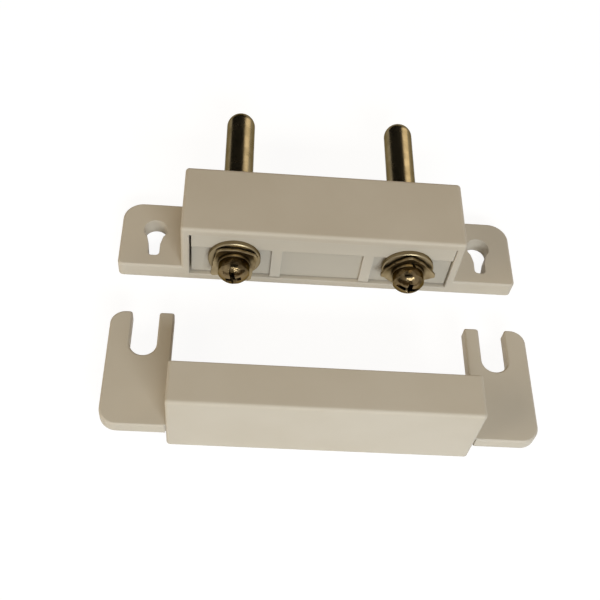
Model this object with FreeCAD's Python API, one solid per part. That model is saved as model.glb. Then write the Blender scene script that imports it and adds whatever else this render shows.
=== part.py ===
"""Water leak sensor: a two-probe unit for wall mounting, with the cover for its terminals beside it.

The unit lies on its wall face. X runs along it, Y runs from the terminal side to the probe tips,
and Z runs out of the wall. The origin is the middle of the housing's wall face. In use the probes
point down to the floor, the terminals are on top, and the cover slides over them along +Y, with
its forked ears over the housing's ears, until the two screws that hold the unit hold both.
All sizes are in millimetres.
"""
import math
import os

import FreeCAD
import Part

# Housing: a moulded shell, open to the wall, with a mounting ear at each end
EAR_SPAN = 63.5
BODY_LENGTH = 43.7
BODY_DEPTH = 12.5
BODY_HEIGHT = 12.4
EAR_THICKNESS = 2.8
EAR_BACK_RADIUS = 3.2
EAR_FRONT_RADIUS = 0.8
TOP_WALL = 1.45
END_WALL = 1.3
PROBE_SIDE_WALL = 1.6
EDGE_RADIUS = 0.55
CORNER_RADIUS = 0.6
EAR_BEVEL = 0.25

# Terminal side of the housing: one wide mouth over a low sill
SILL_WALL = 1.3
SILL_HEIGHT = 1.2
MOUTH_BEVEL = 0.1

# Keyholes in the ears, for the two mounting screws
HOLE_SPACING = 52.7
HOLE_RADIUS = 1.85
HOLE_Y = 0.9
FLANK_START = 44.0
TAPER_END_Y = -2.0
SLOT_WIDTH = 1.8
SLOT_END_Y = -4.15
SLOT_END_RADIUS = 0.6

# Terminal bar: it fills the mouth, and its front has three shallow recesses under a rim, with
# a rib between each two. The probes go through it.
BAR_SETBACK = 0.15
BAR_THICKNESS = 4.2
BAR_FOOT = 1.4
BAR_END_GAP = 0.2
BAR_TOP_GAP = 0.05
BAR_SHIFT = 0.12
RECESS_DEPTH = 0.5
RECESS_TOP = 8.1
MIDDLE_LENGTH = 12.6
RIB_WIDTH = 1.65

# Probes: turned pins, with a contact flange on the terminal side and a round tip
PROBE_SPACING = 27.1
PROBE_Z = 6.2
PROBE_RADIUS = 2.38
PROBE_REACH = 17.6
FLANGE_RADIUS = 4.05
FLANGE_THICKNESS = 0.8
FLANGE_EDGE = 0.15
TAPPED_RADIUS = 1.42
TAPPED_DEPTH = 8.0
TAPPED_POINT = 0.8
PASSAGE_GAP = 0.02

# Clamp washer: a square washer with cut corners, its edges turned up off the flange
CLAMP_SIDE = 6.4
CLAMP_CORNER_CUT = 0.4
CLAMP_THICKNESS = 0.5
CLAMP_FLAT_RADIUS = 2.9
CLAMP_SLOPE = 0.45
CLAMP_TURNS = {"left": 9.0, "right": 42.0}

# Lock washer: a split spring washer
LOCK_RADIUS = 2.5
LOCK_THICKNESS = 0.55
LOCK_SPLIT = 0.45
LOCK_SLANT = 30.0
WASHER_BORE_RADIUS = 1.55

# Terminal screw: high domed head with a cross recess and a slot across it
SCREW_RADIUS = 1.38
SCREW_ENGAGEMENT = 6.2
SCREW_POINT = 0.4
HEAD_RADIUS = 2.42
HEAD_RIM = 1.45
HEAD_RISE = 1.3
DRIVE_SLOT_WIDTH = 0.7
DRIVE_SLOT_DEPTH = 0.8
CROSS_REACH = 1.35
CROSS_WIDTH = 0.8
CROSS_DEPTH = 1.6
CROSS_TAPER = 0.35
SCREW_TURNS = {"left": 78.0, "right": 12.0}

# Cover: a box open to the wall and to the housing, with a forked ear at each end
COVER_OFF = 22.6
COVER_GAP = 0.1
COVER_DEPTH = 6.5
COVER_WALL = 1.3
COVER_FRONT_WALL = 1.0
COVER_SPAN = 62.7
COVER_EAR_THICKNESS = 1.9
COVER_EAR_RAISE = 0.1
COVER_EAR_SETBACK = 0.35
COVER_SIDE_GAP = 0.15
COVER_TIP_Y = 6.4
COVER_ROOT_LAP = 0.6
FORK_SPACING = 52.4
FORK_RADIUS = 1.98
FORK_MOUTH_RADIUS = 0.5
FORK_TIP_RADIUS = 0.4
COVER_EAR_FRONT_RADIUS = 2.6
COVER_EAR_BACK_RADIUS = 2.2
COVER_EAR_BEVEL = 0.22

# Places worked out from the sizes above
HALF_BODY = BODY_LENGTH / 2
TERMINAL_FACE_Y = -BODY_DEPTH / 2
PROBE_FACE_Y = BODY_DEPTH / 2
SILL_BACK_Y = TERMINAL_FACE_Y + SILL_WALL
CAVITY_END_Y = PROBE_FACE_Y - PROBE_SIDE_WALL
CAVITY_TOP = BODY_HEIGHT - TOP_WALL
HALF_CAVITY = HALF_BODY - END_WALL
BAR_FACE_Y = TERMINAL_FACE_Y + BAR_SETBACK
BAR_BACK_Y = BAR_FACE_Y + BAR_THICKNESS
FLANGE_FACE_Y = BAR_FACE_Y - FLANGE_THICKNESS
LOCK_SEAT_Y = FLANGE_FACE_Y - CLAMP_THICKNESS
HEAD_SEAT_Y = LOCK_SEAT_Y - LOCK_THICKNESS
CROWN_Y = HEAD_SEAT_Y - HEAD_RIM - HEAD_RISE
SIDES = {"left": -1, "right": 1}

X_AXIS = FreeCAD.Vector(1, 0, 0)
Y_AXIS = FreeCAD.Vector(0, 1, 0)
Z_AXIS = FreeCAD.Vector(0, 0, 1)
SAME_PLACE = 0.01


def block(x0, x1, y0, y1, z0, z1):
    """A box between two opposite corners."""
    return Part.makeBox(x1 - x0, y1 - y0, z1 - z0, FreeCAD.Vector(x0, y0, z0))


def round_uprights(shape, corners):
    """Rounds the upright edges at each (x, y, radius)."""
    for x, y, radius in corners:
        at_corner = [
            edge for edge in shape.Edges
            if edge.BoundBox.ZLength > SAME_PLACE
            and edge.BoundBox.XLength + edge.BoundBox.YLength < SAME_PLACE
            and abs(edge.BoundBox.XMin - x) + abs(edge.BoundBox.YMin - y) < SAME_PLACE
        ]
        shape = shape.makeFillet(radius, at_corner)
    return shape


def edges_at_height(shape, z):
    """The edges that lie wholly at one height."""
    return [
        edge for edge in shape.Edges
        if abs(edge.BoundBox.ZMin - z) < SAME_PLACE and abs(edge.BoundBox.ZMax - z) < SAME_PLACE
    ]


def at(radius, y):
    """A point of a turned profile."""
    return FreeCAD.Vector(radius, y, 0)


def chain(points):
    """Straight edges through the points, in order."""
    return [Part.makeLine(a, b) for a, b in zip(points, points[1:])]


def turned(profile, x):
    """A solid of revolution about the terminal axis at x. The profile is a closed list of edges
    in (radius, y), drawn at x = 0 and z = 0."""
    solid = Part.Face(Part.Wire(profile)).revolve(FreeCAD.Vector(0, 0, 0), Y_AXIS, 360)
    solid.translate(FreeCAD.Vector(x, 0, PROBE_Z))
    return solid


def rod(x, radius, y0, y1):
    """A round bar on the terminal axis at x."""
    return Part.makeCylinder(radius, y1 - y0, FreeCAD.Vector(x, y0, PROBE_Z), Y_AXIS)


def about_terminal(shape, x, degrees):
    """The shape turned about the terminal axis at x."""
    shape.rotate(FreeCAD.Vector(x, 0, PROBE_Z), Y_AXIS, degrees)
    return shape


def keyhole(x):
    """The cutter for one keyhole: a round hole, two straight flanks that close in from it, and
    a narrow slot towards the terminal side."""
    half = SLOT_WIDTH / 2
    start = math.radians(FLANK_START)
    start_x = HOLE_RADIUS * math.sin(start)
    start_y = HOLE_Y - HOLE_RADIUS * math.cos(start)
    left = [(-start_x, start_y), (-half, TAPER_END_Y), (-half, SLOT_END_Y)]
    right = [(-across, y) for across, y in reversed(left)]
    outline = Part.makePolygon([
        FreeCAD.Vector(x + across, y, 0) for across, y in left + right + left[:1]
    ])
    slot = Part.Face(outline).extrude(FreeCAD.Vector(0, 0, EAR_THICKNESS))
    slot = round_uprights(slot, [
        (x - half, SLOT_END_Y, SLOT_END_RADIUS), (x + half, SLOT_END_Y, SLOT_END_RADIUS)
    ])
    hole = Part.makeCylinder(HOLE_RADIUS, EAR_THICKNESS, FreeCAD.Vector(x, HOLE_Y, 0), Z_AXIS)
    return hole.fuse(slot).removeSplitter()


def mouth_rim(shell):
    """The edges round the mouth of the terminal side."""
    return [
        edge for edge in shell.Edges
        if edge.BoundBox.YMax < TERMINAL_FACE_Y + SAME_PLACE
        and edge.BoundBox.XMin > -HALF_CAVITY - SAME_PLACE
        and edge.BoundBox.XMax < HALF_CAVITY + SAME_PLACE
        and edge.BoundBox.ZMin > SILL_HEIGHT - SAME_PLACE
        and edge.BoundBox.ZMax < CAVITY_TOP + SAME_PLACE
    ]


def housing():
    """The moulded shell: body, ears, keyholes, the cavity open to the wall, the mouth of the
    terminal side, and the two holes that the probes leave by."""
    half_span = EAR_SPAN / 2
    ears = block(-half_span, half_span, TERMINAL_FACE_Y, PROBE_FACE_Y, 0, EAR_THICKNESS)
    ears = round_uprights(ears, [
        (side * half_span, y, radius)
        for side in SIDES.values()
        for y, radius in ((PROBE_FACE_Y, EAR_BACK_RADIUS), (TERMINAL_FACE_Y, EAR_FRONT_RADIUS))
    ])
    ears = ears.makeChamfer(EAR_BEVEL, edges_at_height(ears, EAR_THICKNESS))
    body = block(-HALF_BODY, HALF_BODY, TERMINAL_FACE_Y, PROBE_FACE_Y, 0, BODY_HEIGHT)
    body = round_uprights(body, [
        (side * HALF_BODY, y, radius)
        for side in SIDES.values()
        for y, radius in ((PROBE_FACE_Y, CORNER_RADIUS), (TERMINAL_FACE_Y, EDGE_RADIUS))
    ])
    body = body.makeFillet(EDGE_RADIUS, edges_at_height(body, BODY_HEIGHT))
    cutters = [
        block(-HALF_CAVITY, HALF_CAVITY, SILL_BACK_Y, CAVITY_END_Y, 0, CAVITY_TOP),
        block(-HALF_CAVITY, HALF_CAVITY, TERMINAL_FACE_Y, SILL_BACK_Y, SILL_HEIGHT, CAVITY_TOP),
    ]
    for side in SIDES.values():
        cutters.append(keyhole(side * HOLE_SPACING / 2))
        cutters.append(
            rod(side * PROBE_SPACING / 2, PROBE_RADIUS + PASSAGE_GAP, CAVITY_END_Y, PROBE_FACE_Y)
        )
    shell = body.fuse(ears).cut(cutters).removeSplitter()
    return shell.makeChamfer(MOUTH_BEVEL, mouth_rim(shell))


def terminal_bar():
    """The bar in the mouth. Its outer recesses run out at its ends, and all three at its foot."""
    half = HALF_CAVITY - BAR_END_GAP
    rib_inner_x = MIDDLE_LENGTH / 2
    rib_outer_x = rib_inner_x + RIB_WIDTH
    bar = block(-half, half, BAR_FACE_Y, BAR_BACK_Y, BAR_FOOT, CAVITY_TOP - BAR_TOP_GAP)
    recesses = [
        block(x0, x1, BAR_FACE_Y, BAR_FACE_Y + RECESS_DEPTH, BAR_FOOT, RECESS_TOP)
        for x0, x1 in ((-half, -rib_outer_x), (-rib_inner_x, rib_inner_x), (rib_outer_x, half))
    ]
    bar = bar.cut(recesses)
    bar.translate(FreeCAD.Vector(BAR_SHIFT, 0, 0))
    passages = [
        rod(side * PROBE_SPACING / 2, PROBE_RADIUS + PASSAGE_GAP, BAR_FACE_Y, BAR_BACK_Y)
        for side in SIDES.values()
    ]
    return bar.cut(passages)


def probe_blank(x):
    """The outside of one probe: contact flange, shank and round tip."""
    tip_y = PROBE_FACE_Y + PROBE_REACH
    shoulder_y = tip_y - PROBE_RADIUS
    tip_middle = PROBE_RADIUS * 0.5 ** 0.5
    profile = chain([
        at(0, tip_y),
        at(0, FLANGE_FACE_Y),
        at(FLANGE_RADIUS - FLANGE_EDGE, FLANGE_FACE_Y),
        at(FLANGE_RADIUS, FLANGE_FACE_Y + FLANGE_EDGE),
        at(FLANGE_RADIUS, BAR_FACE_Y),
        at(PROBE_RADIUS, BAR_FACE_Y),
        at(PROBE_RADIUS, shoulder_y),
    ])
    tip = Part.Arc(
        at(PROBE_RADIUS, shoulder_y), at(tip_middle, shoulder_y + tip_middle), at(0, tip_y)
    ).toShape()
    return turned(profile + [tip], x)


def probe(x):
    """One probe, with the tapped hole for its terminal screw."""
    hole_end_y = FLANGE_FACE_Y + TAPPED_DEPTH
    drill = turned(chain([
        at(0, FLANGE_FACE_Y),
        at(TAPPED_RADIUS, FLANGE_FACE_Y),
        at(TAPPED_RADIUS, hole_end_y),
        at(0, hole_end_y + TAPPED_POINT),
        at(0, FLANGE_FACE_Y),
    ]), x)
    return probe_blank(x).cut(drill)


def sealing_resin():
    """The cast resin that fills the housing behind and below the bar, level with the wall face."""
    behind = block(-HALF_CAVITY, HALF_CAVITY, BAR_BACK_Y, CAVITY_END_Y, 0, CAVITY_TOP)
    below = block(-HALF_CAVITY, HALF_CAVITY, SILL_BACK_Y, BAR_BACK_Y, 0, BAR_FOOT)
    blanks = [probe_blank(side * PROBE_SPACING / 2) for side in SIDES.values()]
    return behind.fuse(below).removeSplitter().cut(blanks)


def clamp_washer(x, degrees):
    """The square washer that presses the wire on the flange: flat under the screw, with its
    edges turned up all round."""
    rise = CLAMP_SLOPE * (CLAMP_SIDE - CLAMP_FLAT_RADIUS)
    back, front = FLANGE_FACE_Y, LOCK_SEAT_Y
    dish = turned(chain([
        at(WASHER_BORE_RADIUS, back),
        at(CLAMP_FLAT_RADIUS, back),
        at(CLAMP_SIDE, back - rise),
        at(CLAMP_SIDE, front - rise),
        at(CLAMP_FLAT_RADIUS, front),
        at(WASHER_BORE_RADIUS, front),
        at(WASHER_BORE_RADIUS, back),
    ]), x)
    half = CLAMP_SIDE / 2
    blank = block(x - half, x + half, front - rise, back, PROBE_Z - half, PROBE_Z + half)
    corners = [edge for edge in blank.Edges if edge.BoundBox.YLength > SAME_PLACE]
    blank = blank.makeChamfer(CLAMP_CORNER_CUT, corners)
    return about_terminal(dish.common(blank), x, degrees)


def lock_washer(x, degrees):
    """The split spring washer under the screw's head, cut through at a slant."""
    ring = rod(x, LOCK_RADIUS, HEAD_SEAT_Y, LOCK_SEAT_Y)
    bore = rod(x, WASHER_BORE_RADIUS, HEAD_SEAT_Y, LOCK_SEAT_Y)
    split = block(
        x - LOCK_SPLIT / 2, x + LOCK_SPLIT / 2,
        HEAD_SEAT_Y - LOCK_THICKNESS, LOCK_SEAT_Y + LOCK_THICKNESS,
        PROBE_Z, PROBE_Z + LOCK_RADIUS * 2,
    )
    split.rotate(FreeCAD.Vector(x, HEAD_SEAT_Y + LOCK_THICKNESS / 2, PROBE_Z), Z_AXIS, LOCK_SLANT)
    return about_terminal(ring.cut([bore, split]), x, degrees)


def recess_arm(x, reach, width):
    """One arm of the cross recess: a wedge that narrows towards its foot."""
    sections = []
    for y, scale in ((CROWN_Y, 1), (CROWN_Y + CROSS_DEPTH, CROSS_TAPER)):
        sections.append(Part.makePolygon([
            FreeCAD.Vector(x + side_x * reach * scale, y, PROBE_Z + side_z * width / 2 * scale)
            for side_x, side_z in ((-1, -1), (1, -1), (1, 1), (-1, 1), (-1, -1))
        ]))
    return Part.makeLoft(sections, True, True)


def drive_recess(x):
    """The cutter for the screw's drive: a cross recess, and a slot right across the head."""
    slot = block(
        x - HEAD_RADIUS, x + HEAD_RADIUS, CROWN_Y, CROWN_Y + DRIVE_SLOT_DEPTH,
        PROBE_Z - DRIVE_SLOT_WIDTH / 2, PROBE_Z + DRIVE_SLOT_WIDTH / 2,
    )
    along = recess_arm(x, CROSS_REACH, CROSS_WIDTH)
    across = about_terminal(recess_arm(x, CROSS_REACH, CROSS_WIDTH), x, 90)
    return slot.fuse([along, across])


def terminal_screw(x, degrees):
    """The terminal screw: high domed head with its drive recess, and a shank that reaches into
    the probe's tapped hole."""
    rim_y = HEAD_SEAT_Y - HEAD_RIM
    end_y = FLANGE_FACE_Y + SCREW_ENGAGEMENT
    dome_radius = (HEAD_RADIUS ** 2 + HEAD_RISE ** 2) / (2 * HEAD_RISE)
    middle = HEAD_RADIUS / 2
    middle_y = CROWN_Y + dome_radius - (dome_radius ** 2 - middle ** 2) ** 0.5
    dome = Part.Arc(at(HEAD_RADIUS, rim_y), at(middle, middle_y), at(0, CROWN_Y)).toShape()
    profile = [dome] + chain([
        at(0, CROWN_Y),
        at(0, end_y),
        at(SCREW_RADIUS - SCREW_POINT, end_y),
        at(SCREW_RADIUS, end_y - SCREW_POINT),
        at(SCREW_RADIUS, HEAD_SEAT_Y),
        at(HEAD_RADIUS, HEAD_SEAT_Y),
        at(HEAD_RADIUS, rim_y),
    ])
    return about_terminal(turned(profile, x).cut(drive_recess(x)), x, degrees)


def fork(side):
    """One forked ear of the cover, placed as when the cover is on."""
    inner_x = HALF_BODY + COVER_SIDE_GAP
    outer_x = COVER_SPAN / 2
    root_x = HALF_BODY - COVER_WALL / 2
    gap_x = FORK_SPACING / 2
    box_back_y = TERMINAL_FACE_Y - COVER_GAP
    ear_front_y = box_back_y - COVER_DEPTH + COVER_EAR_SETBACK
    z0 = EAR_THICKNESS + COVER_EAR_RAISE
    z1 = z0 + COVER_EAR_THICKNESS
    ear = block(inner_x, outer_x, ear_front_y, COVER_TIP_Y, z0, z1)
    gap = block(gap_x - FORK_RADIUS, gap_x + FORK_RADIUS, HOLE_Y, COVER_TIP_Y, z0, z1)
    gap_end = Part.makeCylinder(
        FORK_RADIUS, COVER_EAR_THICKNESS, FreeCAD.Vector(gap_x, HOLE_Y, z0), Z_AXIS
    )
    ear = ear.cut(gap.fuse(gap_end).removeSplitter())
    ear = round_uprights(ear, [
        (outer_x, ear_front_y, COVER_EAR_FRONT_RADIUS),
        (outer_x, COVER_TIP_Y, COVER_EAR_BACK_RADIUS),
        (gap_x + FORK_RADIUS, COVER_TIP_Y, FORK_MOUTH_RADIUS),
        (gap_x - FORK_RADIUS, COVER_TIP_Y, FORK_TIP_RADIUS),
        (inner_x, COVER_TIP_Y, FORK_TIP_RADIUS),
    ])
    ear = ear.makeChamfer(COVER_EAR_BEVEL, edges_at_height(ear, z1))
    root = block(
        root_x, inner_x + COVER_ROOT_LAP, ear_front_y + COVER_EAR_BEVEL, box_back_y, z0, z1
    )
    ear = ear.fuse(root)
    return ear if side > 0 else ear.mirror(FreeCAD.Vector(0, 0, 0), X_AXIS)


def terminal_cover():
    """The cover: a box over the terminals, open to the wall and to the housing, and the two
    forked ears. It lies off the housing, COVER_OFF away along Y."""
    back_y = TERMINAL_FACE_Y - COVER_GAP
    front_y = back_y - COVER_DEPTH
    box = block(-HALF_BODY, HALF_BODY, front_y, back_y, 0, BODY_HEIGHT)
    box = round_uprights(box, [
        (side * HALF_BODY, front_y, CORNER_RADIUS) for side in SIDES.values()
    ])
    top_edges = [
        edge for edge in edges_at_height(box, BODY_HEIGHT)
        if edge.BoundBox.YMin < back_y - SAME_PLACE
    ]
    box = box.makeFillet(EDGE_RADIUS, top_edges)
    inside = block(
        -HALF_BODY + COVER_WALL, HALF_BODY - COVER_WALL,
        front_y + COVER_FRONT_WALL, back_y, 0, BODY_HEIGHT - COVER_WALL,
    )
    cover = box.fuse([fork(side) for side in SIDES.values()]).cut(inside).removeSplitter()
    cover.translate(FreeCAD.Vector(0, -COVER_OFF, 0))
    return cover


def main():
    """Makes every piece and writes one file for each."""
    pieces = {
        "housing": housing(),
        "terminal_bar": terminal_bar(),
        "sealing_resin": sealing_resin(),
        "terminal_cover": terminal_cover(),
    }
    for name, side in SIDES.items():
        x = side * PROBE_SPACING / 2
        pieces["probe_" + name] = probe(x)
        pieces["clamp_washer_" + name] = clamp_washer(x, CLAMP_TURNS[name])
        pieces["lock_washer_" + name] = lock_washer(x, SCREW_TURNS[name])
        pieces["terminal_screw_" + name] = terminal_screw(x, SCREW_TURNS[name])
    os.makedirs("parts", exist_ok=True)
    for node, shape in pieces.items():
        print(node, "solids", len(shape.Solids), "valid", shape.isValid(), round(shape.Volume, 2))
        shape.Solids[0].exportStep("parts/" + node + ".step")


main()
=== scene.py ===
import math

import bpy
from mathutils import Matrix, Vector


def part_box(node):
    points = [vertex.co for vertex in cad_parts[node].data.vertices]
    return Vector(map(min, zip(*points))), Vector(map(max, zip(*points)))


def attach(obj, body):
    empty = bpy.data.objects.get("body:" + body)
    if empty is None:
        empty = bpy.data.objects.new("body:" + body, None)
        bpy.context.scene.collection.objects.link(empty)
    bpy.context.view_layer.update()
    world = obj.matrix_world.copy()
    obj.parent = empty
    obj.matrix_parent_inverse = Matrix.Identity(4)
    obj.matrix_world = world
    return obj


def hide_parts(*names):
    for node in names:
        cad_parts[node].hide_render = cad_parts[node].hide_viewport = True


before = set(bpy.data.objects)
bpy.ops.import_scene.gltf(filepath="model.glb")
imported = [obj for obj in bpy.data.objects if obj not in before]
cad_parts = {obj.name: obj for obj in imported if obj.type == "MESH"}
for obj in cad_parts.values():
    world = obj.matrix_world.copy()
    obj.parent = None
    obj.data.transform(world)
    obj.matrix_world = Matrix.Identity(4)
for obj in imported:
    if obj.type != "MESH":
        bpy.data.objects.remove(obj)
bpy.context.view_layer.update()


# The housing: one ivory ABS moulding, an open-backed body with a flat ear at each end.
# The mould leaves a fine dull grain, and the colour drifts a little with the flow of the
# melt. The edges are slightly round and rubbed a shade lighter.
MOULD_SHEEN = 0.35
FLOW_PATCH = 0.014
FLOW_DETAIL = 4
FLOW_SPREAD = (0.35, 0.65)
EDGE_ROUND = 0.00022
EDGE_SAMPLES = 6
RUBBED_SPREAD = (0.995, 0.90)
RUBBED_SHARE = 0.55
MOULD_GRAIN = 0.00016
GRAIN_DETAIL = 2
GRAIN_HEIGHT = 0.000006
GRAIN_STRENGTH = 0.6
GRAIN_GLOSS = 0.07
HOUSING_IVORY = (0.625, 0.570, 0.480, 1)
HOUSING_SHADE = (0.590, 0.532, 0.440, 1)
HOUSING_RUBBED = (0.690, 0.650, 0.580, 1)
HOUSING_DULL = 0.52


def new_finish(name):
    """A new material, with its node tree and its surface."""
    finish = bpy.data.materials.new(name)
    finish.use_nodes = True
    return finish, finish.node_tree, finish.node_tree.nodes["Principled BSDF"]


def place_on_object(tree):
    """Where a point of the surface lies in the object."""
    return tree.nodes.new("ShaderNodeTexCoord").outputs["Object"]


def noise(tree, place, scale, detail):
    """Cloudy noise that varies from place to place."""
    cloud = tree.nodes.new("ShaderNodeTexNoise")
    cloud.inputs["Scale"].default_value = scale
    cloud.inputs["Detail"].default_value = detail
    tree.links.new(place, cloud.inputs["Vector"])
    return cloud.outputs["Fac"]


def two_tones(tree, amount, spread, colours):
    """Goes from the first colour to the second while amount goes over the spread."""
    ramp = tree.nodes.new("ShaderNodeValToRGB")
    for stop, position, colour in zip(ramp.color_ramp.elements, spread, colours):
        stop.position = position
        stop.color = colour
    tree.links.new(amount, ramp.inputs["Fac"])
    return ramp.outputs["Color"]


def change_range(tree, amount, given, wanted):
    """Leads amount from the range given over to the range wanted, and stops at its ends."""
    ranged = tree.nodes.new("ShaderNodeMapRange")
    for name, number in zip(("From Min", "From Max", "To Min", "To Max"), given + wanted):
        ranged.inputs[name].default_value = number
    tree.links.new(amount, ranged.inputs["Value"])
    return ranged.outputs["Result"]


def mix(tree, kind, share, first, second):
    """Goes from first to second by share. Each of the two is a socket or a plain value."""
    mixed = tree.nodes.new("ShaderNodeMix")
    mixed.data_type = kind
    tree.links.new(share, mixed.inputs["Factor"])
    for name, source in (("A", first), ("B", second)):
        if isinstance(source, bpy.types.NodeSocket):
            tree.links.new(source, mixed.inputs[name])
        else:
            mixed.inputs[name].default_value = source
    return mixed.outputs["Result"]


def raise_surface(tree, height, depth, strength):
    """Makes the surface rise with height, by up to depth, and returns the node that does it."""
    relief = tree.nodes.new("ShaderNodeBump")
    relief.inputs["Strength"].default_value = strength
    relief.inputs["Distance"].default_value = depth
    tree.links.new(height, relief.inputs["Height"])
    tree.links.new(relief.outputs["Normal"], tree.nodes["Principled BSDF"].inputs["Normal"])
    return relief


def moulded_plastic(name, ivory, shade, rubbed, dull):
    """Matte ABS: ivory drifts to shade in wide patches, and rubbed shows where a round edge
    leans off its face. dull is its roughness, which the grain varies."""
    plastic, tree, surface = new_finish(name)
    surface.inputs["Specular IOR Level"].default_value = MOULD_SHEEN
    place = place_on_object(tree)
    flow = noise(tree, place, 1 / FLOW_PATCH, FLOW_DETAIL)
    drift = two_tones(tree, flow, FLOW_SPREAD, (shade, ivory))

    rounded = tree.nodes.new("ShaderNodeBevel")
    rounded.samples = EDGE_SAMPLES
    rounded.inputs["Radius"].default_value = EDGE_ROUND
    face = tree.nodes.new("ShaderNodeNewGeometry")
    lean = tree.nodes.new("ShaderNodeVectorMath")
    lean.operation = "DOT_PRODUCT"
    tree.links.new(rounded.outputs["Normal"], lean.inputs[0])
    tree.links.new(face.outputs["True Normal"], lean.inputs[1])
    rub = change_range(tree, lean.outputs["Value"], RUBBED_SPREAD, (0, RUBBED_SHARE))
    tree.links.new(mix(tree, "RGBA", rub, drift, rubbed), surface.inputs["Base Color"])

    grain = noise(tree, place, 1 / MOULD_GRAIN, GRAIN_DETAIL)
    gloss = change_range(tree, grain, (0, 1), (dull - GRAIN_GLOSS, dull + GRAIN_GLOSS))
    tree.links.new(gloss, surface.inputs["Roughness"])
    relief = raise_surface(tree, grain, GRAIN_HEIGHT, GRAIN_STRENGTH)
    tree.links.new(rounded.outputs["Normal"], relief.inputs["Normal"])
    return plastic


def dress(node, material):
    """Gives a frame piece its finish."""
    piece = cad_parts[node]
    piece.data.materials.clear()
    piece.data.materials.append(material)


dress("housing", moulded_plastic(
    "ivory_housing_abs", HOUSING_IVORY, HOUSING_SHADE, HOUSING_RUBBED, HOUSING_DULL
))


# The terminal bar: a second moulding of the same ABS, which is pushed into the housing's
# mouth. Its three shallow recesses are a little greyer than its rim and ribs, which is
# painted shade.
BAR_IVORY = (0.622, 0.574, 0.490, 1)
BAR_SHADE = (0.590, 0.540, 0.454, 1)
BAR_RUBBED = (0.690, 0.655, 0.590, 1)
BAR_DULL = 0.46
RECESS_PAINTED_SHADE = (0.512, 0.474, 0.402, 1)
RECESS_PAINTED_SHADE_SHARE = 0.8
RECESS_PAINTED_SHADE_DEPTHS = (0.00005, 0.00048)
BAR_FRONT_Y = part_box("terminal_bar")[0][1]


def change_along_y(material, socket, kind, span, value, share):
    """Leads a socket of the finish over to a share of value, along a span of Y."""
    tree = material.node_tree
    target = tree.nodes["Principled BSDF"].inputs[socket]
    split = tree.nodes.new("ShaderNodeSeparateXYZ")
    tree.links.new(place_on_object(tree), split.inputs["Vector"])
    part_way = change_range(tree, split.outputs["Y"], span, (0, share))
    tree.links.new(mix(tree, kind, part_way, target.links[0].from_socket, value), target)


bar_abs = moulded_plastic("ivory_bar_abs", BAR_IVORY, BAR_SHADE, BAR_RUBBED, BAR_DULL)
# Painted shade: the colour greys towards the floors of the recesses.
change_along_y(
    bar_abs, "Base Color", "RGBA", tuple(BAR_FRONT_Y + depth for depth in RECESS_PAINTED_SHADE_DEPTHS),
    RECESS_PAINTED_SHADE, RECESS_PAINTED_SHADE_SHARE,
)
dress("terminal_bar", bar_abs)


# The sealing resin: poured in from the wall side, so its face is glassy, a little uneven
# and slightly cloudy, with small bubbles that rose and stayed under the skin.
RESIN_TAN = (0.430, 0.360, 0.260, 1)
RESIN_CLOUD = (0.500, 0.430, 0.330, 1)
RESIN_SPREAD = (0.3, 0.7)
RESIN_WAVE = 0.006
RESIN_WAVE_DETAIL = 3
RESIN_WAVE_HEIGHT = 0.00012
RESIN_GLOSS = 0.16
BUBBLE_SPACING = 0.0011
BUBBLE_SHARE = 0.25
BUBBLE_DULL = 0.38


def cast_resin():
    """Cloudy tan casting resin, glossy, with a wavy poured face and duller bubbles."""
    resin, tree, surface = new_finish("cast_sealing_resin")
    place = place_on_object(tree)
    waves = noise(tree, place, 1 / RESIN_WAVE, RESIN_WAVE_DETAIL)
    cloudy = two_tones(tree, waves, RESIN_SPREAD, (RESIN_TAN, RESIN_CLOUD))
    tree.links.new(cloudy, surface.inputs["Base Color"])
    bubbles = tree.nodes.new("ShaderNodeTexVoronoi")
    bubbles.inputs["Scale"].default_value = 1 / BUBBLE_SPACING
    tree.links.new(place, bubbles.inputs["Vector"])
    shine = change_range(
        tree, bubbles.outputs["Distance"], (0, BUBBLE_SHARE), (BUBBLE_DULL, RESIN_GLOSS)
    )
    tree.links.new(shine, surface.inputs["Roughness"])
    raise_surface(tree, waves, RESIN_WAVE_HEIGHT, 1)
    return resin


dress("sealing_resin", cast_resin())


# The probes: turned from drawn brass rod and nickel plated, each with its contact flange, a
# bore for the terminal screw and a round tip. Drawing leaves faint lines along the rod. The
# plate is a dulled warm grey, painted darker than nickel as painted dark reflection and less
# so on the flange, darker in patches, and browned by painted shade in its corners.
flange_low, tip_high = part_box("probe_right")
TERMINAL_Z = (flange_low.z + tip_high.z) / 2
TERMINAL_X = {
    side: sum(corner.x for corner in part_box("probe_" + side)) / 2 for side in ("left", "right")
}
PROBE_STEPS = 96
PROBE_RADIUS = 0.00238
PROBE_TIP_Y = tip_high.y
PROBE_TIP_FLAT = math.radians(1.35)
PROBE_DOME_RINGS = 14
PROBE_BROKEN_EDGE = 0.00004
BROKEN_EDGE_STEPS = 2
PROBE_SMOOTH_ANGLE = 32
FLANGE_RADIUS = (tip_high.x - flange_low.x) / 2
FLANGE_THICKNESS = 0.0008
FLANGE_FACE_Y = flange_low.y
FLANGE_BACK_Y = FLANGE_FACE_Y + FLANGE_THICKNESS
FLANGE_EDGE = 0.00015
BORE_RADIUS = 0.00142
BORE_DEPTH = 0.008
PLATE_RIM_TINT = (0.42, 0.385, 0.32, 1)
PATCHES_PER_METRE = 420
PATCH_DETAIL = 5
PATCH_SPREAD = (0.32, 0.62)
# The colour and spread of the painted shade that browns the plate in its corners.
CORNER_PAINTED_SHADE = (0.026, 0.018, 0.009, 1)
PAINTED_SHADE_SPREAD = (0.35, 0.85)
PAINTED_SHADE_SAMPLES = 8
SHINE_SPREAD = (0.3, 0.7)
HANDLED_DULL = 0.10
MARK_DETAIL = 2
MARK_STRENGTH = 0.35
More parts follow.
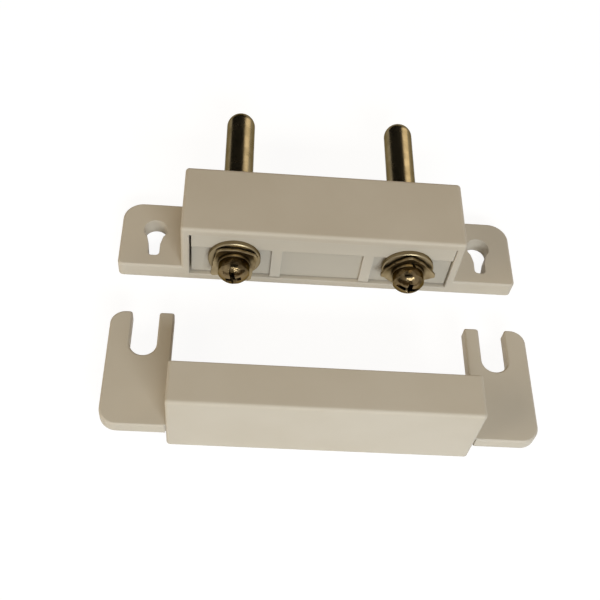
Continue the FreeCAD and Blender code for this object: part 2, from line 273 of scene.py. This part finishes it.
# The plate tones are darker than nickel as painted dark reflection, and less so on the flange.
PROBE_NICKEL_AND_PAINTED_REFLECTION = (0.235, 0.190, 0.118, 1)
PROBE_HANDLED_AND_PAINTED_REFLECTION = (0.175, 0.138, 0.080, 1)
PROBE_DULL = 0.19
PROBE_SHADE_REACH = 0.0006
DRAWN_LINE = 0.00007
DRAWN_LINE_LENGTH = 0.02
DRAWN_LINE_DEPTH = 0.000003
FLANGE_NICKEL_AND_PAINTED_REFLECTION = (0.300, 0.238, 0.142, 1)
FLANGE_DULL = 0.38
FLANGE_SHARE = 0.75
FLANGE_FADE = 0.0005


def plated_metal(name, bright, handled, dull, shade_reach, mark_lengths, mark_depth):
    """Warm nickel plate, browned by painted shade near its corners, up to the reach given, and
    duller where it was handled. mark_lengths is how far the tool's marks run along X, Y and Z,
    and mark_depth how deep they are."""
    metal, tree, surface = new_finish(name)
    surface.inputs["Metallic"].default_value = 1
    surface.inputs["Specular Tint"].default_value = PLATE_RIM_TINT
    place = place_on_object(tree)
    patches = noise(tree, place, PATCHES_PER_METRE, PATCH_DETAIL)
    tone = two_tones(tree, patches, PATCH_SPREAD, (handled, bright))
    # Painted shade: the plate browns where ambient occlusion finds other surfaces close by.
    occlusion = tree.nodes.new("ShaderNodeAmbientOcclusion")
    occlusion.samples = PAINTED_SHADE_SAMPLES
    occlusion.inputs["Distance"].default_value = shade_reach
    unshaded = change_range(tree, occlusion.outputs["AO"], PAINTED_SHADE_SPREAD, (0, 1))
    tree.links.new(mix(tree, "RGBA", unshaded, CORNER_PAINTED_SHADE, tone), surface.inputs["Base Color"])
    shine = change_range(tree, patches, SHINE_SPREAD, (dull + HANDLED_DULL, dull))
    tree.links.new(shine, surface.inputs["Roughness"])

    stretch = tree.nodes.new("ShaderNodeMapping")
    stretch.inputs["Scale"].default_value = [1 / length for length in mark_lengths]
    tree.links.new(place, stretch.inputs["Vector"])
    marks = noise(tree, stretch.outputs["Vector"], 1, MARK_DETAIL)
    raise_surface(tree, marks, mark_depth, MARK_STRENGTH)
    return metal


def arc(centre_y, radius, start, end, rings):
    """Points of an outline round a centre on the axis. Their angles count from +Y."""
    angles = [start + (end - start) * ring / rings for ring in range(rings + 1)]
    return [(centre_y + radius * math.cos(angle), radius * math.sin(angle)) for angle in angles]


def revolve(name, outline, steps, first_ring):
    """Turns an outline of (y, radius) points about the terminal axis, through x = 0, and leaves
    the piece being edited. first_ring is NGON for a filled end and NOTHING for an open one."""
    y, radius = outline[0]
    bpy.ops.object.select_all(action="DESELECT")
    bpy.ops.mesh.primitive_circle_add(
        vertices=steps, radius=radius, fill_type=first_ring,
        location=(0, y, TERMINAL_Z), rotation=(math.radians(90), 0, 0),
    )
    bpy.ops.object.transform_apply(location=True, rotation=True, scale=True)
    piece = bpy.context.object
    piece.name = name
    bpy.ops.object.mode_set(mode="EDIT")
    for next_y, next_radius in outline[1:]:
        bpy.ops.mesh.extrude_region_move(
            TRANSFORM_OT_translate={"value": (0, next_y - y, 0)}
        )
        growth = next_radius / radius
        bpy.ops.transform.resize(
            value=(growth, 1, growth), center_override=(0, next_y, TERMINAL_Z)
        )
        y, radius = next_y, next_radius
    return piece


def end_editing():
    """Points all faces of the piece being edited outwards, and leaves edit mode."""
    bpy.ops.mesh.select_all(action="SELECT")
    bpy.ops.mesh.normals_make_consistent(inside=False)
    bpy.ops.object.mode_set(mode="OBJECT")


def finish_edges(piece, width, smooth_angle):
    """Breaks the edges that are sharper than an angle by width, and shades the rest smooth."""
    softened = piece.modifiers.new("broken_edges", "BEVEL")
    softened.width = width
    softened.segments = BROKEN_EDGE_STEPS
    softened.limit_method = "ANGLE"
    softened.angle_limit = math.radians(smooth_angle)
    bpy.ops.object.select_all(action="DESELECT")
    piece.select_set(True)
    bpy.context.view_layer.objects.active = piece
    bpy.ops.object.modifier_apply(modifier=softened.name)
    bpy.ops.object.shade_smooth_by_angle(angle=math.radians(smooth_angle))


def fit_at_terminal(pattern, side, turn, body, node, material):
    """Copies a piece to one terminal, turned about its axis, in place of the frame's node."""
    piece = pattern.copy()
    piece.data = pattern.data.copy()
    bpy.context.scene.collection.objects.link(piece)
    piece.name = pattern.name + "_" + side
    to_axis = Matrix.Translation((0, 0, -TERMINAL_Z))
    back = Matrix.Translation((TERMINAL_X[side], 0, TERMINAL_Z))
    piece.data.transform(back @ Matrix.Rotation(math.radians(turn), 4, "Y") @ to_axis)
    piece.data.materials.clear()
    piece.data.materials.append(material)
    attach(piece, body)
    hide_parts(node)


probe_pattern = revolve("flanged_probe", [
    (FLANGE_FACE_Y + BORE_DEPTH, BORE_RADIUS),
    (FLANGE_FACE_Y, BORE_RADIUS),
    (FLANGE_FACE_Y, FLANGE_RADIUS - FLANGE_EDGE),
    (FLANGE_FACE_Y + FLANGE_EDGE, FLANGE_RADIUS),
    (FLANGE_BACK_Y, FLANGE_RADIUS),
    (FLANGE_BACK_Y, PROBE_RADIUS),
] + arc(
    PROBE_TIP_Y - PROBE_RADIUS, PROBE_RADIUS, math.pi / 2, PROBE_TIP_FLAT, PROBE_DOME_RINGS
), PROBE_STEPS, "NGON")
end_editing()
finish_edges(probe_pattern, PROBE_BROKEN_EDGE, PROBE_SMOOTH_ANGLE)
probe_nickel = plated_metal(
    "drawn_nickel_plate", PROBE_NICKEL_AND_PAINTED_REFLECTION, PROBE_HANDLED_AND_PAINTED_REFLECTION, PROBE_DULL, PROBE_SHADE_REACH,
    (DRAWN_LINE, DRAWN_LINE_LENGTH, DRAWN_LINE), DRAWN_LINE_DEPTH,
)
for socket, kind, value in (
    ("Base Color", "RGBA", FLANGE_NICKEL_AND_PAINTED_REFLECTION), ("Roughness", "FLOAT", FLANGE_DULL),
):
    change_along_y(
        probe_nickel, socket, kind, (FLANGE_BACK_Y + FLANGE_FADE, FLANGE_BACK_Y), value,
        FLANGE_SHARE,
    )
for side in TERMINAL_X:
    fit_at_terminal(
        probe_pattern, side, 0, "sensor", "probe_" + side, probe_nickel
    )
bpy.data.objects.remove(probe_pattern)


# The clamp washers: square, with cut corners, stamped from strip and dished by the same
# stroke, so that the edges stand off the flange and a wire can't slip out from under them.
WASHER_BORE_RADIUS = 0.00155
CLAMP_SIDE = 0.0064
CLAMP_CORNER_CUT = 0.0004
CLAMP_THICKNESS = 0.0005
CLAMP_FLAT_RADIUS = 0.0029
CLAMP_SLOPE = 0.45
CLAMP_BEND = 0.0004
CLAMP_BEND_STEPS = 2
CLAMP_STEPS = 96
CLAMP_BROKEN_EDGE = 0.00006
CLAMP_TURN = {"left": 9, "right": 42}
WASHER_SMOOTH_ANGLE = 40
WELD_DISTANCE = 0.000001
# The plate tones are darker than nickel, as painted dark reflection.
WASHER_NICKEL_AND_PAINTED_REFLECTION = (0.345, 0.272, 0.160, 1)
WASHER_HANDLED_AND_PAINTED_REFLECTION = (0.185, 0.138, 0.074, 1)
WASHER_DULL = 0.28
WASHER_SHADE_REACH = 0.0006
WASHER_DENT = 0.0005
WASHER_DENT_DEPTH = 0.00012


def thicken(depth):
    """Draws the plate being edited out to its thickness, away from the flange."""
    bpy.ops.mesh.select_all(action="SELECT")
    bpy.ops.mesh.extrude_region_move(TRANSFORM_OT_translate={"value": (0, -depth, 0)})
    bpy.ops.mesh.select_all(action="SELECT")
    bpy.ops.mesh.remove_doubles(threshold=WELD_DISTANCE)
    end_editing()


def dish(radius):
    """How far the dished washer stands off its flat at a radius."""
    over = radius - CLAMP_FLAT_RADIUS
    if over <= -CLAMP_BEND:
        return 0
    if over >= CLAMP_BEND:
        return CLAMP_SLOPE * over
    return CLAMP_SLOPE * (over + CLAMP_BEND) ** 2 / (4 * CLAMP_BEND)


bend = [
    CLAMP_FLAT_RADIUS + CLAMP_BEND * step / CLAMP_BEND_STEPS
    for step in range(-CLAMP_BEND_STEPS, CLAMP_BEND_STEPS + 1)
]
clamp_pattern = revolve("clamp_plate", [
    (FLANGE_FACE_Y - dish(radius), radius)
    for radius in [WASHER_BORE_RADIUS] + bend + [CLAMP_SIDE]
], CLAMP_STEPS, "NOTHING")
corner_distance = (CLAMP_SIDE - CLAMP_CORNER_CUT) * 0.5 ** 0.5
for quarter in range(4):
    for start, distance in ((0, CLAMP_SIDE / 2), (45, corner_distance)):
        angle = math.radians(90 * quarter + start)
        outward = Vector((math.cos(angle), 0, math.sin(angle)))
        bpy.ops.mesh.select_all(action="SELECT")
        bpy.ops.mesh.bisect(
            plane_co=outward * distance + Vector((0, 0, TERMINAL_Z)),
            plane_no=outward, clear_outer=True,
        )
thicken(CLAMP_THICKNESS)
finish_edges(clamp_pattern, CLAMP_BROKEN_EDGE, WASHER_SMOOTH_ANGLE)
washer_nickel = plated_metal(
    "stamped_nickel_plate", WASHER_NICKEL_AND_PAINTED_REFLECTION, WASHER_HANDLED_AND_PAINTED_REFLECTION, WASHER_DULL, WASHER_SHADE_REACH,
    (WASHER_DENT, WASHER_DENT, WASHER_DENT), WASHER_DENT_DEPTH,
)
for side, turn in CLAMP_TURN.items():
    fit_at_terminal(
        clamp_pattern, side, turn, "clamp_" + side, "clamp_washer_" + side,
        washer_nickel,
    )
bpy.data.objects.remove(clamp_pattern)


# The lock washers: square wire coiled and cut through at a slant, so that each end of the
# split bites when the screw is driven home.
LOCK_RADIUS = 0.0025
LOCK_THICKNESS = 0.00055
LOCK_STEPS = 72
LOCK_BROKEN_EDGE = 0.00007
LOCK_SPLIT = 0.00045
LOCK_SLANT = 30
LOCK_SEAT_Y = FLANGE_FACE_Y - CLAMP_THICKNESS
SPLIT_CUTTER_LENGTH = 3 * LOCK_THICKNESS
SCREW_TURN = {"left": 78, "right": 12}


def cut_away(piece, cutter):
    """Takes the cutter's shape out of the piece."""
    cut = piece.modifiers.new("cut", "BOOLEAN")
    cut.operation = "DIFFERENCE"
    cut.solver = "EXACT"
    cut.object = cutter
    bpy.ops.object.select_all(action="DESELECT")
    piece.select_set(True)
    bpy.context.view_layer.objects.active = piece
    bpy.ops.object.modifier_apply(modifier=cut.name)
    bpy.data.objects.remove(cutter)


def cutting_block(size, middle, slant):
    """A block cutter, turned about the vertical by slant degrees."""
    bpy.ops.object.select_all(action="DESELECT")
    bpy.ops.mesh.primitive_cube_add(
        size=1, location=middle, rotation=(0, 0, math.radians(slant)), scale=size
    )
    bpy.ops.object.transform_apply(location=True, rotation=True, scale=True)
    return bpy.context.object


lock_pattern = revolve("split_lock_washer", [
    (LOCK_SEAT_Y, WASHER_BORE_RADIUS), (LOCK_SEAT_Y, LOCK_RADIUS),
], LOCK_STEPS, "NOTHING")
thicken(LOCK_THICKNESS)
cut_away(lock_pattern, cutting_block(
    (LOCK_SPLIT, SPLIT_CUTTER_LENGTH, LOCK_RADIUS * 2),
    (0, LOCK_SEAT_Y - LOCK_THICKNESS / 2, TERMINAL_Z + LOCK_RADIUS), LOCK_SLANT,
))
finish_edges(lock_pattern, LOCK_BROKEN_EDGE, WASHER_SMOOTH_ANGLE)
for side, turn in SCREW_TURN.items():
    fit_at_terminal(
        lock_pattern, side, turn, "clamp_" + side, "lock_washer_" + side,
        washer_nickel,
    )
bpy.data.objects.remove(lock_pattern)


# The terminal screws: cold-headed and nickel plated, with a high domed head, a cross recess,
# a slot across it for a flat driver, and a rolled thread that runs into the probe's bore.
HEAD_SEAT_Y = LOCK_SEAT_Y - LOCK_THICKNESS
HEAD_RADIUS = 0.00242
HEAD_RIM = 0.00145
HEAD_RISE = 0.0013
HEAD_DOME_RINGS = 10
CROWN_Y = HEAD_SEAT_Y - HEAD_RIM - HEAD_RISE
CROWN_FLAT_RADIUS = 0.00002
SCREW_STEPS = 64
SCREW_BROKEN_EDGE = 0.00006
SCREW_SMOOTH_ANGLE = 30
SCREW_RADIUS = 0.00138
SCREW_REACH = 0.0062
SCREW_END_Y = FLANGE_FACE_Y + SCREW_REACH
SCREW_POINT = 0.0004
THREAD_ROOT_RADIUS = 0.00104
THREAD_PITCH = 0.000635
THREAD_RINGS = 8
THREAD_MARGIN = 0.00004
SLOT_WIDTH = 0.0007
SLOT_DEPTH = 0.0008
SLOT_CUTTER_LENGTH = 2.2 * HEAD_RADIUS
CROSS_REACH = 0.00135
CROSS_WIDTH = 0.0008
CROSS_DEPTH = 0.0016
CROSS_TAPER = 0.35
CUTTER_LEAD = 0.0003
# The plate tones are darker than nickel, as painted dark reflection, and the handled patches are
# near black.
SCREW_NICKEL_AND_PAINTED_REFLECTION = (0.215, 0.155, 0.080, 1)
SCREW_HANDLED_AND_PAINTED_REFLECTION = (0.050, 0.034, 0.016, 1)
SCREW_DULL = 0.11
SCREW_SHADE_REACH = 0.0016
SCREW_DENT = 0.0006
SCREW_DENT_DEPTH = 0.00022

crown_radius = (HEAD_RADIUS ** 2 + HEAD_RISE ** 2) / (2 * HEAD_RISE)
crown_reach = math.asin(HEAD_RADIUS / crown_radius)
head_dome = arc(
    CROWN_Y + crown_radius, crown_radius, math.pi - crown_reach, math.pi, HEAD_DOME_RINGS
)
head_dome[-1] = (CROWN_Y, CROWN_FLAT_RADIUS)
thread_start_y = SCREW_END_Y - SCREW_POINT
thread_end_y = HEAD_SEAT_Y + THREAD_PITCH / 2
ring_count = round((thread_start_y - thread_end_y) / THREAD_PITCH * THREAD_RINGS)
thread = [
    (thread_start_y + (thread_end_y - thread_start_y) * ring / ring_count, SCREW_RADIUS)
    for ring in range(ring_count + 1)
]
screw_pattern = revolve("domed_screw", [
    (SCREW_END_Y, SCREW_RADIUS - SCREW_POINT),
] + thread + [
    (HEAD_SEAT_Y, SCREW_RADIUS),
    (HEAD_SEAT_Y, HEAD_RADIUS),
] + head_dome, SCREW_STEPS, "NGON")
end_editing()

for point in screw_pattern.data.vertices:
    if thread_end_y - THREAD_MARGIN < point.co.y < thread_start_y + THREAD_MARGIN:
        across = Vector((point.co.x, 0, point.co.z - TERMINAL_Z))
        turns = math.atan2(across.z, across.x) / (2 * math.pi) + point.co.y / THREAD_PITCH
        flank = abs(turns % 1 * 2 - 1)
        thread_radius = THREAD_ROOT_RADIUS + (SCREW_RADIUS - THREAD_ROOT_RADIUS) * flank
        across *= thread_radius / across.length
        point.co.x = across.x
        point.co.z = across.z + TERMINAL_Z

cut_away(screw_pattern, cutting_block(
    (SLOT_CUTTER_LENGTH, SLOT_DEPTH + CUTTER_LEAD, SLOT_WIDTH),
    (0, CROWN_Y + (SLOT_DEPTH - CUTTER_LEAD) / 2, TERMINAL_Z), 0,
))
for reach, width in ((CROSS_REACH, CROSS_WIDTH / 2), (CROSS_WIDTH / 2, CROSS_REACH)):
    wedge = cutting_block(
        (reach * 2, CROSS_DEPTH, width * 2), (0, CROWN_Y + CROSS_DEPTH / 2, TERMINAL_Z), 0
    )
    for point in wedge.data.vertices:
        if point.co.y > CROWN_Y + CROSS_DEPTH / 2:
            point.co.x *= CROSS_TAPER
            point.co.z = TERMINAL_Z + (point.co.z - TERMINAL_Z) * CROSS_TAPER
    cut_away(screw_pattern, wedge)
finish_edges(screw_pattern, SCREW_BROKEN_EDGE, SCREW_SMOOTH_ANGLE)
screw_nickel = plated_metal(
    "headed_nickel_plate", SCREW_NICKEL_AND_PAINTED_REFLECTION, SCREW_HANDLED_AND_PAINTED_REFLECTION, SCREW_DULL, SCREW_SHADE_REACH,
    (SCREW_DENT, SCREW_DENT, SCREW_DENT), SCREW_DENT_DEPTH,
)
for side, turn in SCREW_TURN.items():
    fit_at_terminal(
        screw_pattern, side, turn, "screw_" + side, "terminal_screw_" + side,
        screw_nickel,
    )
bpy.data.objects.remove(screw_pattern)


# The cover: moulded in the same ivory ABS as the housing, from its own tool, a shade warmer.
# Its edges are rubbed a shade lighter, from being pushed on and off by hand.
COVER_IVORY = (0.630, 0.578, 0.490, 1)
COVER_SHADE = (0.600, 0.545, 0.452, 1)
COVER_RUBBED = (0.700, 0.662, 0.592, 1)
COVER_DULL = 0.50

dress("terminal_cover", moulded_plastic(
    "ivory_cover_abs", COVER_IVORY, COVER_SHADE, COVER_RUBBED, COVER_DULL
))


# The table: plain matte white. Most of what is seen of it is a white glow, which lights
# nothing, and the rest takes the object's soft shadow.
FLOOR_SIDE = 1.1
FLOOR_GAP = 0.00003
FLOOR_WHITE = (0.82, 0.82, 0.82, 1)
FLOOR_GLOW_SHARE = 0.78
FLOOR_GLOW = 1.18


def show_directly(tree, share, lighting, shown, output):
    """Gives an output the shader lighting, and a share of the shader shown where a ray comes
    from the camera, from a mirror or through a clear pane."""
    ray = tree.nodes.new("ShaderNodeLightPath")
    direct = ray.outputs["Is Camera Ray"]
    for kind in ("Is Glossy Ray", "Is Transmission Ray"):
        either = tree.nodes.new("ShaderNodeMath")
        either.operation = "MAXIMUM"
        tree.links.new(direct, either.inputs[0])
        tree.links.new(ray.outputs[kind], either.inputs[1])
        direct = either.outputs["Value"]
    part = tree.nodes.new("ShaderNodeMath")
    part.operation = "MULTIPLY"
    part.inputs[1].default_value = share
    tree.links.new(direct, part.inputs[0])
    blend = tree.nodes.new("ShaderNodeMixShader")
    tree.links.new(part.outputs["Value"], blend.inputs["Fac"])
    tree.links.new(lighting, blend.inputs[1])
    tree.links.new(shown, blend.inputs[2])
    tree.links.new(blend.outputs["Shader"], output)


bpy.ops.object.select_all(action="DESELECT")
bpy.ops.mesh.primitive_plane_add(size=FLOOR_SIDE, location=(0, 0, -FLOOR_GAP))
floor = bpy.context.object
floor.name = "white_table"
table_white, tree, surface = new_finish("matte_white_table")
surface.inputs["Base Color"].default_value = FLOOR_WHITE
surface.inputs["Roughness"].default_value = 1
surface.inputs["Specular IOR Level"].default_value = 0
glow = tree.nodes.new("ShaderNodeEmission")
glow.inputs["Strength"].default_value = FLOOR_GLOW
show_directly(
    tree, FLOOR_GLOW_SHARE, surface.outputs["BSDF"], glow.outputs["Emission"],
    tree.nodes["Material Output"].inputs["Surface"],
)
floor.data.materials.append(table_white)


# The room: dim warm light from all round, and plain white where it is looked at.
ROOM_LIGHT = (1.0, 0.76, 0.46, 1)
ROOM_LEVEL = 0.19
ROOM_WHITE = (1, 1, 1, 1)

room = bpy.data.worlds.new("room")
room.use_nodes = True
bpy.context.scene.world = room
tree = room.node_tree
lighting = tree.nodes["Background"]
lighting.inputs["Color"].default_value = ROOM_LIGHT
lighting.inputs["Strength"].default_value = ROOM_LEVEL
white = tree.nodes.new("ShaderNodeBackground")
white.inputs["Color"].default_value = ROOM_WHITE
show_directly(
    tree, 1, lighting.outputs["Background"], white.outputs["Background"],
    tree.nodes["World Output"].inputs["Surface"],
)


# The lamps: a wide soft box in front, high enough to reach the terminals over the cover, a warm
# one that fills the shade at the left and isn't seen in the metal, and a weak upright strip at
# the back right, which draws the bright stripe along the probes.
AIM = Vector((0, -0.010, 0.006))
FRONT_BOX = {
    "place": (0.125, -0.557, 0.331), "along": (1, 0, 0), "size": (0.40, 0.14),
    "watts": 2.78, "colour": (0.88, 0.95, 1.0),
}
LEFT_FILL = {
    "place": (-0.42, -0.16, 0.24), "along": (0, 1, 0), "size": (0.30, 0.30),
    "watts": 0.72, "colour": (1.0, 0.86, 0.64),
}
BACK_STRIP = {
    "place": (0.293, 0.369, 0.2015), "along": (-0.556, 0, 0.831), "size": (0.31, 0.14),
    "watts": 0.34, "colour": (1.0, 0.86, 0.62),
}


def facing(place, along):
    """Turns something at place to look at the object, with its long side along a direction."""
    back = (Vector(place) - AIM).normalized()
    up = back.cross(Vector(along)).normalized()
    turn = Matrix((up.cross(back), up, back)).transposed().to_4x4()
    return Matrix.Translation(place) @ turn


def soft_box(name, place, along, size, watts, colour):
    """An oblong soft box that looks at the object."""
    box = bpy.data.lights.new(name, "AREA")
    box.shape = "RECTANGLE"
    box.size, box.size_y = size
    box.energy = watts
    box.color = colour
    lamp = bpy.data.objects.new(name, box)
    bpy.context.scene.collection.objects.link(lamp)
    lamp.matrix_world = facing(place, along)
    return lamp


soft_box("front_soft_box", **FRONT_BOX)
soft_box("left_fill", **LEFT_FILL).visible_glossy = False
soft_box("back_strip", **BACK_STRIP)


# The black cards: one hangs over and behind the object and makes the dark band along the tops
# of the probes, and one hangs just behind the camera and makes the dark spot on the screw
# heads. They are seen only in reflections.
BACK_CARD = {"place": (-0.113, 0.389, 0.2265), "along": (0.890, 0, 0.455), "size": (0.66, 0.50)}
CAMERA_CARD = {"place": (-0.016, -0.100, 0.150), "along": (1, 0, 0), "size": (0.16, 0.11)}
CARD_BLACK = (0.01, 0.01, 0.01, 1)

card_paper, tree, surface = new_finish("black_card_paper")
surface.inputs["Base Color"].default_value = CARD_BLACK
surface.inputs["Roughness"].default_value = 1


def black_card(name, place, along, size):
    """A card that is seen only in reflections."""
    bpy.ops.object.select_all(action="DESELECT")
    bpy.ops.mesh.primitive_plane_add(size=1)
    card = bpy.context.object
    card.name = name
    card.data.transform(facing(place, along) @ Matrix.Diagonal((*size, 1, 1)))
    card.data.materials.append(card_paper)
    card.visible_camera = False
    card.visible_diffuse = False
    card.visible_transmission = False
    card.visible_shadow = False


black_card("back_card", **BACK_CARD)
black_card("camera_card", **CAMERA_CARD)


# The camera: close above the terminal side, looking down at 55 degrees, a little from the
# left, and tilted by 5 degrees.
CAMERA_PLACE = Vector((-0.01405, -0.09579, 0.12628))
CAMERA_VIEW = Vector((0.07356, 0.56321, -0.82303))
CAMERA_RIGHT = Vector((0.99584, 0.00304, 0.09108))
CAMERA_LENS = 57.8
SENSOR_WIDTH = 36
NEAREST_SEEN = 0.001

view = bpy.data.cameras.new("photo_camera")
view.lens = CAMERA_LENS
view.sensor_width = SENSOR_WIDTH
view.clip_start = NEAREST_SEEN
camera = bpy.data.objects.new("photo_camera", view)
bpy.context.scene.collection.objects.link(camera)
backward = -CAMERA_VIEW.normalized()
upward = backward.cross(CAMERA_RIGHT).normalized()
level = Matrix((upward.cross(backward), upward, backward)).transposed().to_4x4()
camera.matrix_world = Matrix.Translation(CAMERA_PLACE) @ level
bpy.context.scene.camera = camera
bpy.context.scene.view_settings.view_transform = "Standard"
